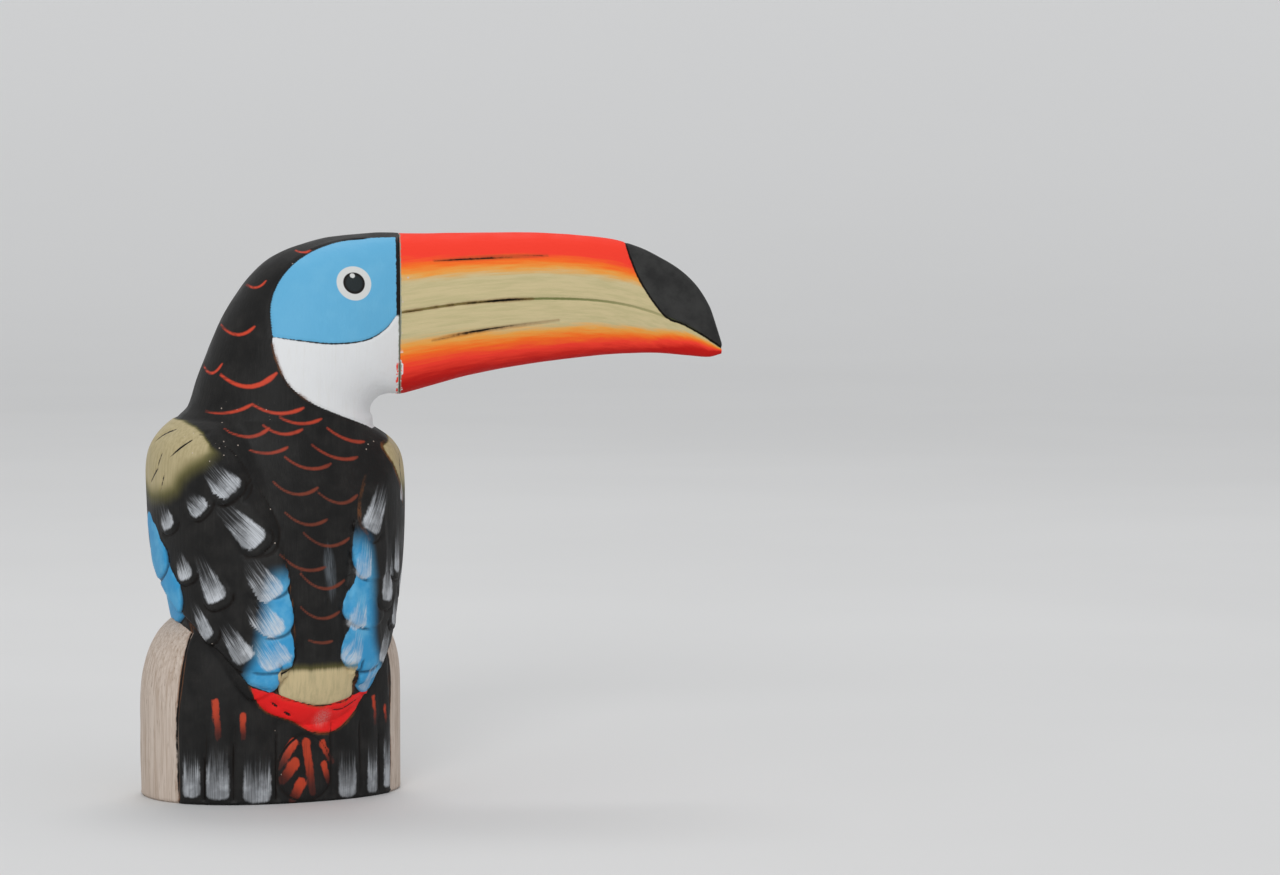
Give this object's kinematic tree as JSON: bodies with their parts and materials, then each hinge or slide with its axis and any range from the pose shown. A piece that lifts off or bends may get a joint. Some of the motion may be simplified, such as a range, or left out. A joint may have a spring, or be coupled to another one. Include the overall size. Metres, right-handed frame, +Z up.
{
  "type": "toucan carving",
  "caption": "Painted wooden toucan carved on a tree stump, head turned over the shoulder, with a large glued beak; stands on a flat base as an ornament.",
  "frame": {"origin": "middle of the flat underside of the stump", "axes": "+Z up, the bird's back faces -Y and its breast +Y, and the beak points mainly to +X"},
  "size_m": [0.1987, 0.1033, 0.2002],
  "materials": {
    "painted_body": "matt black paint over light wood, with bare wood on the stump and white, blue, red and cream painted markings",
    "painted_beak": "matt red, orange and olive paint in lengthwise bands, with a black tip"
  },
  "bodies": {
    "root": {"body": "painted_body", "beak": "painted_beak"}
  },
  "joints": []
}
